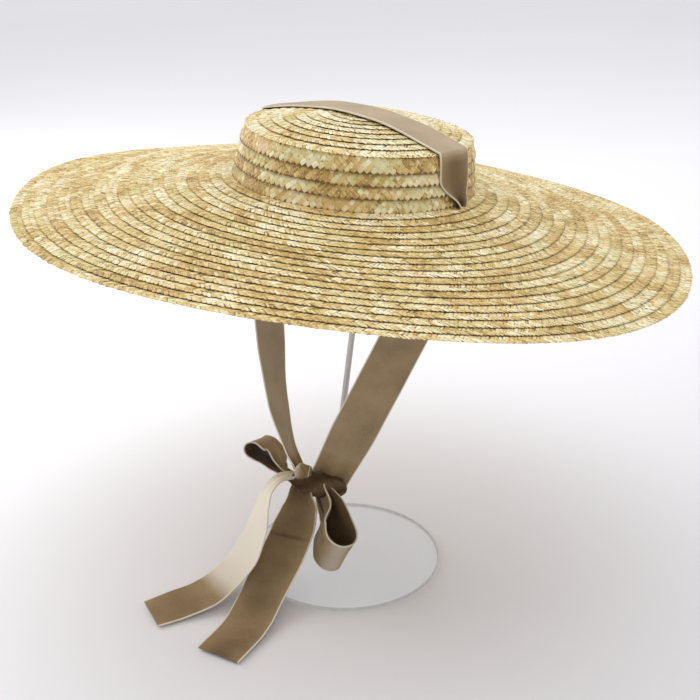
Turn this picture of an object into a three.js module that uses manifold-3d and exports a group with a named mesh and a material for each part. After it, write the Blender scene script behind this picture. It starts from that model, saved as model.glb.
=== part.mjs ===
// A straw boater with a very wide brim, a ribbon tied in a bow under it, and its display stand.
// Millimetres, +Z up. The origin is the middle of the stand's foot plate, on the table.
// The hat's front is -Y, and its ribbon runs over the crown from ear to ear, along X.
import * as THREE from "three";
import { mergeVertices } from "three/addons/utils/BufferGeometryUtils.js";
import Module from "manifold-3d";

const wasm = await Module();
wasm.setup();

// Straw: braid rows sewn one under the next, from the middle of the crown outwards.
const strawThickness = 2.5;
const rowStep = 0.8; // how far each row's free edge stands above the next row
const crownHalfWidth = 84;
const crownHalfLength = 97;
const crownWallHeight = 35.6;
const crownWallRows = 4;
const crownLean = 5.8; // how far the wall leans in at its top
const crownFlare = 1.2; // how far the wall's foot spreads over the brim
const crownEdgeRadius = 2.2;
const crownTopRows = 10;
const crownDome = 11.8;
const brimRows = 19;
const brimRowPitch = 8.245;
const brimDrop = 30;
const brimWave = 2.5;
const rimShiftX = 5.2; // the rim's middle, off the crown's middle
const rimShiftY = 3.8;

// Ribbon: one band over the crown, through the slots, and down to the bow.
const ribbonWidth = 36;
const ribbonThickness = 1.2;
const ribbonSlack = 0.4; // how loosely it lies over the braid
const slotFromWall = 1.8;
const slotOpening = 3.2;
const slotLength = 30;
const slotEndRoom = 1; // room between each edge of the gathered ribbon and the slot's end
const ribbonBelowSlot = 9;
const strapLead = 8; // how far each strap goes straight down before it swings to the knot

// Bow: where its knot hangs, and how far its loops and ends go from there.
const knotX = -15.3;
const knotY = -21.5;
const knotHeight = 73;
const knotLength = 46;
const knotDepth = 19;
const knotTurn = 33; // degrees from +X that the knot's long way is turned to
const knotDip = 12; // degrees that it dips towards its right end
const knotSlide = 4.7; // how far the long roll lies to the right of the knot's middle
const knotWrap = 18; // across the smaller round over its left part
const knotFolds = 3;
const knotFoldDepth = 0.05; // as a share of its depth
const leftLoopLength = 38;
const rightLoopLength = 51.5;
const leftTailReach = 142;
const leftTailHeading = 247.6; // degrees from +X that the end lies towards
const rightTailReach = 138.7;
const rightTailHeading = 278.1;

// Stand: a clear foot plate, a thin post that leans a little, and a pad under the crown's top.
const plateRadius = 77;
const plateThickness = 4;
const stemRadius = 2.5;
const stemFootX = -25.6;
const stemFootY = 9.3;
const stemLean = 6.44; // degrees
const stemLeanHeading = 36.15; // degrees from +X that it leans towards
const hatHeight = 313.4; // the crown's foot above the table, along the post
const hatShiftX = -9.1; // the crown's middle, off the post
const hatShiftY = -6.7;
const padThickness = 8;
const padReach = 46;
const plateBevel = 0.8;

const seatGap = 0.3; // between pieces that rest on each other
const hatSegments = 48;
const degrees = Math.PI / 180;

const brimWidth = brimRows * brimRowPitch;
const slotX = crownHalfWidth + slotFromWall + slotOpening / 2;
const topEdge = -(crownLean + crownEdgeRadius); // where the top begins, out from the wall's foot
const topBevel = 0.3 * crownEdgeRadius;
const slotDepth = 8 * strawThickness;

// The brim's fall, from the crown's foot to its rim: first steep, then flatter, then steep again.
const brimFall = [
  { out: 0, drop: 0 },
  { out: 0.1, drop: 0.13 },
  { out: 0.3, drop: 0.34 },
  { out: 0.5, drop: 0.52 },
  { out: 0.75, drop: 0.75 },
  { out: 1, drop: 1 },
];

// How the brim waves round its rim: turns of the wave, with its shares along X and along Y.
const brimWaves = [
  { turns: 1, cos: 1, sin: -0.7 },
  { turns: 2, cos: -0.95, sin: -0.2 },
  { turns: 3, cos: -0.95, sin: -0.2 },
  { turns: 4, cos: -0.45, sin: 0.5 },
  { turns: 5, cos: 0.1, sin: -0.25 },
];

// Each strap, from its slot down to the knot: how far it hangs out of the straight line, as a share
// of the ribbon's width, and the turn of its width, from +X.
const leftStrap = [
  { down: 0, aside: 0, turn: 90, tip: 0, wide: 0.78 },
  { down: 0, aside: 0, turn: 90, tip: 0, wide: 0.82 },
  { down: 0.15, aside: 0.14, turn: 88, tip: 0, wide: 0.95 },
  { down: 0.4, aside: 0.36, turn: 86, tip: 0, wide: 0.98 },
  { down: 0.6, aside: 0.44, turn: 92, tip: 0, wide: 0.95 },
  { down: 0.8, aside: 0.4, turn: 98, tip: 0, wide: 0.75 },
  { down: 0.94, aside: 0.2, turn: 100, tip: 0, wide: 0.42 },
  { down: 1, aside: 0, turn: 100, tip: 0, wide: 0.34 },
];
const rightStrap = [
  { down: 0, aside: 0, turn: 90, tip: 0, wide: 0.78 },
  { down: 0, aside: 0, turn: 90, tip: 0, wide: 0.82 },
  { down: 0.15, aside: 0.03, turn: 76, tip: 0, wide: 0.95 },
  { down: 0.4, aside: 0.05, turn: 43, tip: -6, wide: 1 },
  { down: 0.8, aside: 0.03, turn: 37, tip: -14, wide: 1 },
  { down: 1, aside: 0, turn: 34, tip: -22, wide: 0.86 },
];

// Each end of the ribbon: share of its reach, sideways share to its left, height as a share of the
// knot's, and the way that its width points.
const leftTail = [
  { reach: 0, side: -0.05, high: 1, turn: -34, tip: 9, wide: 0.35 },
  { reach: 0.09, side: -0.07, high: 1.07, turn: -34, tip: 9, wide: 0.36 },
  { reach: 0.18, side: -0.06, high: 1.09, turn: -35, tip: 15, wide: 0.48 },
  { reach: 0.25, side: -0.05, high: 1.02, turn: -35, tip: 19, wide: 0.74 },
  { reach: 0.3, side: -0.03, high: 0.88, turn: -26, tip: 24, wide: 0.8 },
  { reach: 0.37, side: 0.01, high: 0.63, turn: -17, tip: 18, wide: 0.88 },
  { reach: 0.45, side: 0.015, high: 0.37, turn: -12, tip: 14, wide: 0.96 },
  { reach: 0.56, side: 0.01, high: 0.18, turn: -12, tip: 9, wide: 1 },
  { reach: 0.69, side: 0.02, high: 0.09, turn: -18, tip: 0, wide: 1 },
  { reach: 0.85, side: 0.01, high: 0.05, turn: -20, tip: -2, wide: 0.97 },
  { reach: 1, side: 0, high: 0.03, turn: -19, tip: 0, wide: 0.94 },
];
const rightTail = [
  { reach: -0.02, side: -0.06, high: 1, turn: 4, tip: 0, wide: 0.45 },
  { reach: 0.05, side: -0.05, high: 0.9, turn: 4, tip: 0, wide: 0.56 },
  { reach: 0.1, side: -0.03, high: 0.77, turn: 6, tip: 2, wide: 0.86 },
  { reach: 0.19, side: -0.02, high: 0.62, turn: 12, tip: 2, wide: 1 },
  { reach: 0.33, side: -0.01, high: 0.45, turn: 14, tip: -2, wide: 1 },
  { reach: 0.45, side: -0.02, high: 0.28, turn: 12, tip: -4, wide: 1 },
  { reach: 0.57, side: -0.02, high: 0.13, turn: 7, tip: -2, wide: 1 },
  { reach: 0.74, side: 0, high: 0.05, turn: 2, tip: 0, wide: 1 },
  { reach: 1, side: 0, high: 0.03, turn: 8, tip: 0, wide: 0.97 },
];

// One turn of ribbon seen from its near edge: shares of the loop's length, out from the knot and
// to either side, and how far the ribbon has spread from its gathered width to its full one.
const loopTurn = [
  { out: -0.2, side: -0.03, full: 0.05 },
  { out: 0.05, side: -0.04, full: 0 },
  { out: 0.28, side: -0.1, full: 0.35 },
  { out: 0.55, side: -0.15, full: 0.86 },
  { out: 0.8, side: -0.17, full: 1 },
  { out: 0.95, side: -0.11, full: 1 },
  { out: 1, side: 0, full: 1 },
  { out: 0.95, side: 0.11, full: 1 },
  { out: 0.8, side: 0.17, full: 1 },
  { out: 0.55, side: 0.15, full: 0.86 },
  { out: 0.28, side: 0.1, full: 0.35 },
  { out: 0.05, side: 0.04, full: 0 },
  { out: -0.2, side: 0.03, full: 0.05 },
];

// Where each strap ends, from the knot's middle, as shares of the knot's length.
const leftStrapEnd = { x: -0.36, y: 0.06, z: 0.15 };
const rightStrapEnd = { x: 0.22, y: 0.21, z: 0.1 };

// Each loop: where it leaves the knot, as the straps' ends are given, the way that it goes, the way
// that its ribbon's width faces, how wide it opens, and its gathered width as a share of the ribbon's.
const loops = [
  {
    name: "bow_loop_left", x: -0.53, y: -0.15, z: 0.09, length: leftLoopLength, open: 0.9, gather: 0.32,
    turn: 199, tip: 32, faceTurn: -62.4, faceTip: 18,
  },
  {
    name: "bow_loop_right", x: 0.42, y: 0, z: 0.07, length: rightLoopLength, open: 1.1, gather: 0.5,
    turn: -40.4, tip: -32.4, faceTurn: -18, faceTip: 60.5,
  },
];

const straw = new THREE.MeshStandardMaterial({ color: 0xd8bb78, roughness: 0.6, metalness: 0 });
const velvet = new THREE.MeshStandardMaterial({ color: 0x8b7c66, roughness: 0.9, metalness: 0 });
const clear = new THREE.MeshStandardMaterial({ color: 0xe9eef0, roughness: 0.05, metalness: 0 });
const whiteMetal = new THREE.MeshStandardMaterial({ color: 0xdcdcda, roughness: 0.3, metalness: 0.4 });

function between(table, column, name, place) {
  const last = table.length - 1;
  let i = 1;
  while (i < last && place > table[i][column]) i += 1;
  const from = table[i - 1];
  const to = table[i];
  const share = THREE.MathUtils.clamp((place - from[column]) / (to[column] - from[column]), 0, 1);
  return from[name] + (to[name] - from[name]) * share;
}

function asSolid(geometry) {
  const bare = geometry.clone();
  bare.deleteAttribute("normal");
  bare.deleteAttribute("uv");
  const merged = mergeVertices(bare, 1e-4);
  return new wasm.Manifold(
    new wasm.Mesh({
      numProp: 3,
      vertProperties: new Float32Array(merged.attributes.position.array),
      triVerts: new Uint32Array(merged.index.array),
    }),
  );
}

function asGeometry(solid) {
  const mesh = solid.getMesh();
  const geometry = new THREE.BufferGeometry();
  geometry.setAttribute("position", new THREE.BufferAttribute(mesh.vertProperties, 3));
  geometry.setIndex(new THREE.BufferAttribute(mesh.triVerts, 1));
  geometry.computeVertexNormals();
  return geometry;
}

function meshOf(name, geometry, material) {
  const mesh = new THREE.Mesh(geometry, material);
  mesh.name = name;
  return mesh;
}

// The crown's oval, pushed out evenly by a distance.
function ovalPoint(out, around) {
  const sideways = Math.cos(around);
  const lengthways = Math.sin(around);
  const normal = new THREE.Vector2(sideways / crownHalfWidth, lengthways / crownHalfLength).normalize();
  return new THREE.Vector2(
    crownHalfWidth * sideways + out * normal.x,
    crownHalfLength * lengthways + out * normal.y,
  );
}

// A ring or cap of straw: a lathe whose profile is measured out from the wall's foot, drawn out to
// the crown's oval. Inside the top's edge the rows shrink evenly to the middle.
function ovalSolid(profile, lift, shift = () => 0) {
  const points = profile.map(({ out, up }) => new THREE.Vector2(crownHalfWidth + out, up));
  const geometry = new THREE.LatheGeometry(points, hatSegments);
  const position = geometry.attributes.position;
  for (let i = 0; i < position.count; i += 1) {
    const around = (Math.floor(i / profile.length) / hatSegments) * 2 * Math.PI;
    const { out, up } = profile[i % profile.length];
    const inward = (crownHalfWidth + Math.min(out, topEdge)) / (crownHalfWidth + topEdge);
    const foot = ovalPoint(Math.max(out, topEdge), around).multiplyScalar(inward);
    const aside = shift(out);
    position.setXYZ(i, foot.x + aside * rimShiftX, foot.y + aside * rimShiftY, up + lift(out, around));
  }
  return geometry;
}

function brimHeight(out) {
  return -brimDrop * between(brimFall, "out", "drop", out / brimWidth);
}

function brimLift(out, around) {
  const share = Math.pow(Math.max(0, out / brimWidth), 1.5);
  let lift = 0;
  for (const { turns, cos, sin } of brimWaves) {
    lift += cos * Math.cos(turns * around) + sin * Math.sin(turns * around);
  }
  return lift * share * brimWave;
}

// Height of the crown's top, at a share of the way from its middle to its edge.
function topHeight(share) {
  return crownWallHeight + crownDome * (1 - share * share);
}

function topShare(out) {
  return (crownHalfWidth + out) / (crownHalfWidth + topEdge);
}

function wallOut(up) {
  return (-crownLean * up) / crownWallHeight;
}

function crownGeometry() {
  const inside = [];
  for (const share of [0, 0.3, 0.6, 0.85, 1]) {
    const out = share * (crownHalfWidth + topEdge) - crownHalfWidth;
    inside.push({ out, up: topHeight(share) - strawThickness });
  }
  inside[inside.length - 1].out = topEdge - 0.1;
  for (const share of [0.85, 0.4, 0]) {
    const up = seatGap + share * crownWallHeight;
    inside.push({ out: wallOut(up) - strawThickness, up });
  }
  const outside = [{ out: crownFlare, up: seatGap }];
  const rowHeight = (crownWallHeight - crownEdgeRadius) / crownWallRows;
  for (let row = 0; row < crownWallRows; row += 1) {
    const low = row * rowHeight;
    const high = low + rowHeight;
    if (row > 0) outside.push({ out: wallOut(low) + rowStep, up: low });
    outside.push({ out: wallOut(high), up: high });
  }
  outside.push({ out: wallOut(crownWallHeight) - topBevel, up: crownWallHeight - topBevel });
  const rowReach = (crownHalfWidth + topEdge) / crownTopRows;
  for (let row = 0; row < crownTopRows; row += 1) {
    const outer = topEdge - row * rowReach;
    const inner = outer - rowReach;
    outside.push({ out: outer, up: topHeight(topShare(outer)) + (row > 0 ? rowStep : 0) });
    outside.push({ out: inner, up: topHeight(topShare(inner)) });
  }
  return ovalSolid([...inside, ...outside], () => 0);
}

function brimGeometry() {
  const innerEdge = -strawThickness;
  const profile = [];
  for (const share of [0.05, 0.2, 0.4, 0.6, 0.8, 1]) {
    const out = share * brimWidth;
    profile.push({ out, up: brimHeight(out) - strawThickness });
  }
  for (let row = brimRows - 1; row >= 0; row -= 1) {
    const outer = (row + 1) * brimRowPitch;
    const inner = row * brimRowPitch;
    profile.push({ out: outer, up: brimHeight(outer) + rowStep });
    profile.push({ out: inner, up: brimHeight(inner) });
  }
  profile.push({ out: innerEdge, up: 0 });
  profile.push({ out: innerEdge, up: -strawThickness });
  profile.push({ ...profile[0] });
  return ovalSolid(profile, brimLift, (out) => Math.max(0, out / brimWidth));
}

// The brim with a slot on each side of the crown for the ribbon.
function slottedBrim() {
  let solid = asSolid(brimGeometry());
  for (const side of [-1, 1]) {
    const slot = new THREE.BoxGeometry(slotOpening, slotLength, slotDepth);
    slot.translate(side * slotX, 0, 0);
    solid = solid.subtract(asSolid(slot));
  }
  return asGeometry(solid);
}

// A flat band bent along a curve. Each station of its table gives the way that its width points
// and its width as a share of the ribbon's.
function bandGeometry(curve, turnAt, steps) {
  const geometry = new THREE.BoxGeometry(1, 1, 1, steps, 2, 1);
  const position = geometry.attributes.position;
  for (let i = 0; i < position.count; i += 1) {
    const along = THREE.MathUtils.clamp(position.getX(i) + 0.5, 0, 1);
    const { across, width } = turnAt(along);
    const tangent = curve.getTangent(along);
    const edgeways = across.clone().addScaledVector(tangent, -across.dot(tangent)).normalize();
    const face = tangent.clone().cross(edgeways);
    const place = curve
      .getPoint(along)
      .addScaledVector(edgeways, position.getY(i) * width)
      .addScaledVector(face, position.getZ(i) * ribbonThickness);
    position.setXYZ(i, place.x, place.y, place.z);
  }
  return geometry;
}

function pointing(turn, tip) {
  return new THREE.Vector3(
    Math.cos(turn * degrees) * Math.cos(tip * degrees),
    Math.sin(turn * degrees) * Math.cos(tip * degrees),
    Math.sin(tip * degrees),
  );
}

// Reads a table at a share of its rows, so that its rows and its curve's points keep step.
function rowsAt(table, along) {
  const place = along * (table.length - 1);
  const from = table[Math.min(Math.floor(place), table.length - 2)];
  const to = table[table.indexOf(from) + 1];
  const share = place - table.indexOf(from);
  const mixed = {};
  for (const name of Object.keys(from)) mixed[name] = from[name] + (to[name] - from[name]) * share;
  return mixed;
}

function bandAlong(points, table, steps) {
  const curve = new THREE.CatmullRomCurve3(points, false, "centripetal");
  return bandGeometry(
    curve,
    (along) => {
      const { turn, tip, wide } = rowsAt(table, along);
      return { across: pointing(turn, tip), width: wide * ribbonWidth };
    },
    steps,
  );
}

// The ribbon's middle line over the crown, from under one slot to under the other.
function overCrownPoints() {
  const rest = seatGap + rowStep + ribbonSlack + ribbonThickness / 2;
  const half = [
    { x: slotX, z: -ribbonBelowSlot },
    { x: slotX, z: -strawThickness },
    { x: slotX - 0.1, z: strawThickness },
  ];
  for (const share of [0.25, 0.55, 0.85]) {
    const up = share * crownWallHeight;
    half.push({ x: crownHalfWidth + wallOut(up) + rest, z: up });
  }
  const edge = crownHalfWidth - crownLean;
  half.push({ x: edge + rest * 0.9, z: crownWallHeight - topBevel });
  half.push({ x: edge - 0.15 * crownEdgeRadius + rest * 0.6, z: crownWallHeight + rest * 0.75 });
  half.push({ x: edge - crownEdgeRadius, z: crownWallHeight + rest + 0.4 });
  for (const share of [0.85, 0.6, 0.3]) {
    half.push({ x: share * (crownHalfWidth + topEdge), z: topHeight(share) + rest });
  }
  const right = half.map(({ x, z }) => new THREE.Vector3(x, 0, z));
  const left = half.map(({ x, z }) => new THREE.Vector3(-x, 0, z)).reverse();
  return [...right, new THREE.Vector3(0, 0, topHeight(0) + rest), ...left];
}

// Bends the band's edges round the crown's oval and down its dome.
function drapeOnCrown(geometry) {
  const position = geometry.attributes.position;
  for (let i = 0; i < position.count; i += 1) {
    const y = position.getY(i);
    const z = position.getZ(i);
    const round = Math.sqrt(1 - (y / crownHalfLength) ** 2);
    const high = THREE.MathUtils.clamp(z / crownWallHeight, 0, 1);
    const fall = crownDome * (y / crownHalfLength) ** 2 * high;
    position.setXYZ(i, position.getX(i) * round, y, z - fall);
  }
  return geometry;
}

function overCrownGeometry() {
  const points = overCrownPoints();
  const curve = new THREE.CatmullRomCurve3(points, false, "centripetal");
  const gathered = slotLength - 2 * slotEndRoom;
  const width = (along) => {
    const z = curve.getPoint(along).z;
    const share = THREE.MathUtils.smoothstep(z, 0.1 * crownWallHeight, 0.7 * crownWallHeight);
    return gathered + (ribbonWidth - gathered) * share;
  };
  const across = new THREE.Vector3(0, 1, 0);
  const steps = 2 * (points.length - 1);
  return drapeOnCrown(bandGeometry(curve, (along) => ({ across, width: width(along) }), steps));
}

const knotCentre = new THREE.Vector3(knotX, knotY, knotHeight);

function nearKnot({ x, y, z }) {
  return new THREE.Vector3(x, y, z).multiplyScalar(knotLength).add(knotCentre);
}

// A round of the knot: an oval lump with the folds of its wrap round it.
function knotRound(halfLength, halfDepth) {
  const geometry = new THREE.SphereGeometry(1, 12, 8);
  const position = geometry.attributes.position;
  for (let i = 0; i < position.count; i += 1) {
    const x = position.getX(i);
    const ripple = 1 + knotFoldDepth * Math.cos(knotFolds * Math.PI * x);
    const deep = ripple * halfDepth;
    position.setXYZ(i, x * halfLength, position.getY(i) * deep, position.getZ(i) * deep);
  }
  return geometry;
}

// The knot: a long roll with a smaller round of ribbon over its left end.
function knotSolid(grow) {
  const roll = knotRound(knotLength / 2 + grow, knotDepth / 2 + grow);
  roll.rotateY(knotDip * degrees);
  roll.rotateZ(knotTurn * degrees);
  const rollPlace = pointing(knotTurn, -knotDip).multiplyScalar(knotSlide);
  roll.translate(rollPlace.x, rollPlace.y, rollPlace.z);
  const wrap = knotRound(knotWrap / 2 + grow, knotWrap / 2 + grow);
  const wrapPlace = pointing(knotTurn, -knotDip).multiplyScalar(-knotLength / 6);
  wrap.translate(wrapPlace.x, wrapPlace.y, wrapPlace.z + knotDepth / 4);
  return asSolid(roll).add(asSolid(wrap)).translate(knotCentre.toArray());
}

// A piece of ribbon that ends on the knot, cut clear of it.
function cutAtKnot(geometry) {
  return asGeometry(asSolid(geometry).subtract(knotSolid(seatGap)));
}

// A loop of the bow. Its table gives its near edge, so each spot moves back by half its width.
function loopGeometry(loop) {
  const { length, open, gather, turn, tip, faceTurn, faceTip } = loop;
  const outward = pointing(turn, tip);
  const across = pointing(faceTurn, faceTip);
  const sideways = across.clone().cross(outward).normalize();
  const widthAt = (full) => ribbonWidth * (gather + (1 - gather) * full);
  const points = loopTurn.map(({ out, side, full }) =>
    nearKnot(loop)
      .addScaledVector(outward, out * length)
      .addScaledVector(sideways, side * open * length)
      .addScaledVector(across, -widthAt(full) / 2),
  );
  const curve = new THREE.CatmullRomCurve3(points, false, "centripetal");
  const turnAt = (along) => ({ across, width: widthAt(rowsAt(loopTurn, along).full) });
  return bandGeometry(curve, turnAt, 2 * (loopTurn.length - 1));
}

function tailGeometry(table, reach, heading) {
  const ahead = pointing(heading, 0);
  const leftward = pointing(heading + 90, 0);
  const points = table.map(({ reach: along, side, high }) =>
    new THREE.Vector3(knotX, knotY, high * knotHeight)
      .addScaledVector(ahead, along * reach)
      .addScaledVector(leftward, side * reach),
  );
  return bandAlong(points, table, 2 * (table.length - 1));
}

function strapGeometry(top, bottom, table) {
  const lead = top.clone().setZ(top.z - strapLead);
  const points = table.map(({ down, aside }) => {
    const place = lead.clone().lerp(bottom, down);
    return place.setX(place.x + Math.sign(top.x) * aside * ribbonWidth);
  });
  points[0].copy(top);
  return bandAlong(points, table, 3 * (table.length - 1));
}

// The crown, brim and ribbon, in the hat's own frame: its origin is the middle of the wall's foot.
const hat = new THREE.Group();
hat.add(meshOf("crown", crownGeometry(), straw));
hat.add(meshOf("brim", slottedBrim(), straw));
hat.add(meshOf("ribbon_over_crown", overCrownGeometry(), velvet));
hat.position.set(hatShiftX, hatShiftY, hatHeight);

// The pad follows the inside of the crown's top.
const padTop = [];
for (const share of [1, 0.5, 0]) {
  const out = share * padReach - crownHalfWidth;
  padTop.push({ out, up: topHeight(topShare(out)) - strawThickness - seatGap });
}
const padFloor = topHeight(topShare(padReach - crownHalfWidth)) - strawThickness - padThickness;
const pad = meshOf(
  "stand_head",
  ovalSolid(
    [{ out: -crownHalfWidth, up: padFloor }, { out: padReach - crownHalfWidth, up: padFloor }, ...padTop],
    () => 0,
  ),
  whiteMetal,
);
hat.add(pad);

// The post, in a frame that leans with it and holds the hat.
const lean = new THREE.Group();
const leanAxis = pointing(stemLeanHeading + 90, 0);
lean.position.set(stemFootX, stemFootY, 0);
lean.quaternion.setFromAxisAngle(leanAxis, stemLean * degrees);
const stemStart = plateThickness / Math.cos(stemLean * degrees) + seatGap
  + stemRadius * Math.tan(stemLean * degrees);
const stemEnd = hatHeight + padFloor - seatGap;
const stem = meshOf(
  "stand_stem",
  new THREE.CylinderGeometry(stemRadius, stemRadius, stemEnd - stemStart, 16),
  whiteMetal,
);
stem.rotation.x = Math.PI / 2;
stem.position.z = (stemStart + stemEnd) / 2;
lean.add(stem);
lean.add(hat);

const plateProfile = [
  [0, 0],
  [plateRadius - plateBevel, 0],
  [plateRadius, plateBevel],
  [plateRadius, plateThickness - plateBevel],
  [plateRadius - plateBevel, plateThickness],
  [0, plateThickness],
];
const plate = meshOf(
  "stand_base",
  new THREE.LatheGeometry(plateProfile.map(([r, up]) => new THREE.Vector2(r, up)), hatSegments),
  clear,
);
plate.rotation.x = Math.PI / 2;

// A strap starts square under its slot, in the hat's frame, and ends on the knot.
lean.updateMatrixWorld(true);
function hangingStrap(side, end, table) {
  const top = new THREE.Vector3(side * slotX, 0, -ribbonBelowSlot - seatGap - ribbonThickness / 2);
  const bottom = hat.worldToLocal(nearKnot(end));
  return cutAtKnot(strapGeometry(top, bottom, table).applyMatrix4(hat.matrixWorld));
}

const bow = new THREE.Group();
bow.add(meshOf("strap_left", hangingStrap(-1, leftStrapEnd, leftStrap), velvet));
bow.add(meshOf("strap_right", hangingStrap(1, rightStrapEnd, rightStrap), velvet));
bow.add(meshOf("bow_knot", asGeometry(knotSolid(0)), velvet));
for (const loop of loops) bow.add(meshOf(loop.name, cutAtKnot(loopGeometry(loop)), velvet));
bow.add(meshOf("tail_left", cutAtKnot(tailGeometry(leftTail, leftTailReach, leftTailHeading)), velvet));
bow.add(meshOf("tail_right", cutAtKnot(tailGeometry(rightTail, rightTailReach, rightTailHeading)), velvet));

const part = new THREE.Group();
part.add(plate, lean, bow);
export default part;
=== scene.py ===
# Straw boater with a velvet ribbon on its display stand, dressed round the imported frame.
# Metres and degrees, +Z up, the hat's front is -Y and the ribbon runs over the crown along X.
import bpy
import math
import numpy as np
from mathutils import Matrix, Vector


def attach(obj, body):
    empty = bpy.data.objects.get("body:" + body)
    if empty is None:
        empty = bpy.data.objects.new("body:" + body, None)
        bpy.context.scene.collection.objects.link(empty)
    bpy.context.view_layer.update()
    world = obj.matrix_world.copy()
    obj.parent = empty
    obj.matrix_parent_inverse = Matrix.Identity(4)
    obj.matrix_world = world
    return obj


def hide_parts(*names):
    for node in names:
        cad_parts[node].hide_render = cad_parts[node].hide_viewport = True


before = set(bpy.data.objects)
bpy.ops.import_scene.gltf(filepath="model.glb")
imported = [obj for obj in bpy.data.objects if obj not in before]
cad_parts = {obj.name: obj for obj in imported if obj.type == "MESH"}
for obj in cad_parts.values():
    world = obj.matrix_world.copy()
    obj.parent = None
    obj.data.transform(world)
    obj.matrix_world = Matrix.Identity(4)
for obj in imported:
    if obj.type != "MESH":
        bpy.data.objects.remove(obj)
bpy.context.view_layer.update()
scene = bpy.context.scene
dice = np.random.default_rng(19)


def pointing(turn, tip):
    turn, tip = math.radians(turn), math.radians(tip)
    return Vector((math.cos(turn) * math.cos(tip), math.sin(turn) * math.cos(tip), math.sin(tip)))


stand = {
    "footX": -0.0256,
    "footY": 0.0093,
    "lean": 6.44,
    "heading": 36.15,
    "hatHeight": 0.3134,
    "hatShiftX": -0.0091,
    "hatShiftY": -0.0067,
}

hat = {
    "halfWidth": 0.084,
    "halfLength": 0.097,
    "wallHeight": 0.0356,
    "strawThickness": 0.0025,
    "wallRows": 4,
    "lean": 0.0058,
    "edge": 0.0022,
    "topRows": 10,
    "dome": 0.0118,
    "brimRows": 19,
    "rowPitch": 0.008245,
    "drop": 0.030,
    "wave": 0.0025,
    "waveGrowth": 1.5,
    "rimShiftX": 0.0052,
    "rimShiftY": 0.0038,
    # share of the way out, share of the drop
    "fall": [(0, 0), (0.1, 0.13), (0.3, 0.34), (0.5, 0.52), (0.75, 0.75), (1, 1)],
    # turns of the wave round the rim, its cosine's share, its sine's share
    "waves": [(1, 1, -0.7), (2, -0.95, -0.2), (3, -0.95, -0.2), (4, -0.45, 0.5), (5, 0.1, -0.25)],
}
brimWidth = hat["brimRows"] * hat["rowPitch"]
topEdge = -(hat["lean"] + hat["edge"])
topReach = hat["halfWidth"] + topEdge

hatPlace = (
    Matrix.Translation((stand["footX"], stand["footY"], 0))
    @ Matrix.Rotation(math.radians(stand["lean"]), 4, pointing(stand["heading"] + 90, 0))
    @ Matrix.Translation((stand["hatShiftX"], stand["hatShiftY"], stand["hatHeight"]))
)


def inHat(points):
    turn = np.array(hatPlace.to_3x3())
    return points @ turn.T + np.array(hatPlace.translation)


def brimHeight(out):
    outs, drops = zip(*hat["fall"])
    return -hat["drop"] * np.interp(out / brimWidth, outs, drops)


def topHeight(out):
    share = (hat["halfWidth"] + out) / topReach
    return hat["wallHeight"] + hat["dome"] * (1 - share * share)


def wallOut(up):
    return -hat["lean"] * up / hat["wallHeight"]


# Points of the hat from how far out they are, how high, and the angle round the crown.
def ringPoints(out, up, around):
    inward = (hat["halfWidth"] + np.minimum(out, topEdge)) / topReach
    foot = np.maximum(out, topEdge)
    sideways, lengthways = np.cos(around), np.sin(around)
    normalX, normalY = sideways / hat["halfWidth"], lengthways / hat["halfLength"]
    size = np.hypot(normalX, normalY)
    share = np.maximum(0, out / brimWidth)
    lift = sum(c * np.cos(n * around) + s * np.sin(n * around) for n, c, s in hat["waves"])
    x = (hat["halfWidth"] * sideways + foot * normalX / size) * inward + share * hat["rimShiftX"]
    y = (hat["halfLength"] * lengthways + foot * normalY / size) * inward + share * hat["rimShiftY"]
    return np.stack([x, y, up + lift * hat["wave"] * share ** hat["waveGrowth"]], axis=1)


def deselectAll():
    if bpy.context.object and bpy.context.object.mode == "EDIT":
        bpy.ops.object.mode_set(mode="OBJECT")
    bpy.ops.object.select_all(action="DESELECT")


def useOnly(piece):
    deselectAll()
    piece.select_set(True)
    bpy.context.view_layer.objects.active = piece


def newPiece(name):
    piece = bpy.context.object
    piece.name = name
    piece.data.name = name
    return piece


def joined(name, pieces):
    deselectAll()
    for piece in pieces:
        piece.select_set(True)
    bpy.context.view_layer.objects.active = pieces[0]
    if len(pieces) > 1:
        bpy.ops.object.join()
    return newPiece(name)


def coords(piece):
    values = np.empty(len(piece.data.vertices) * 3)
    piece.data.vertices.foreach_get("co", values)
    return values.reshape(-1, 3)


def setCoords(piece, points):
    piece.data.vertices.foreach_set("co", np.ascontiguousarray(points, dtype=np.float32).ravel())
    piece.data.update()


def note(piece, name, values):
    layer = piece.data.attributes.get(name) or piece.data.attributes.new(name, "FLOAT_VECTOR", "POINT")
    layer.data.foreach_set("vector", np.ascontiguousarray(values, dtype=np.float32).ravel())


def noted(piece, name):
    values = np.empty(len(piece.data.vertices) * 3)
    piece.data.attributes[name].data.foreach_get("vector", values)
    return values.reshape(-1, 3)


def applyModifier(piece, kind, **settings):
    useOnly(piece)
    modifier = piece.modifiers.new(kind.title(), kind)
    for key, value in settings.items():
        setattr(modifier, key, value)
    bpy.ops.object.modifier_apply(modifier=modifier.name)


def smooth(piece, angle=50):
    useOnly(piece)
    bpy.ops.object.shade_smooth_by_angle(angle=math.radians(angle))


def nodeTree(name):
    material = bpy.data.materials.new(name)
    material.use_nodes = True
    nodes, links = material.node_tree.nodes, material.node_tree.links
    return material, nodes, links, nodes["Principled BSDF"]


def ramp(nodes, stops, interpolation="LINEAR"):
    node = nodes.new("ShaderNodeValToRGB")
    node.color_ramp.interpolation = interpolation
    while len(node.color_ramp.elements) < len(stops):
        node.color_ramp.elements.new(0.5)
    for element, (place, colour) in zip(node.color_ramp.elements, stops):
        element.position = place
        element.color = (*colour, 1)
    return node


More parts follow.
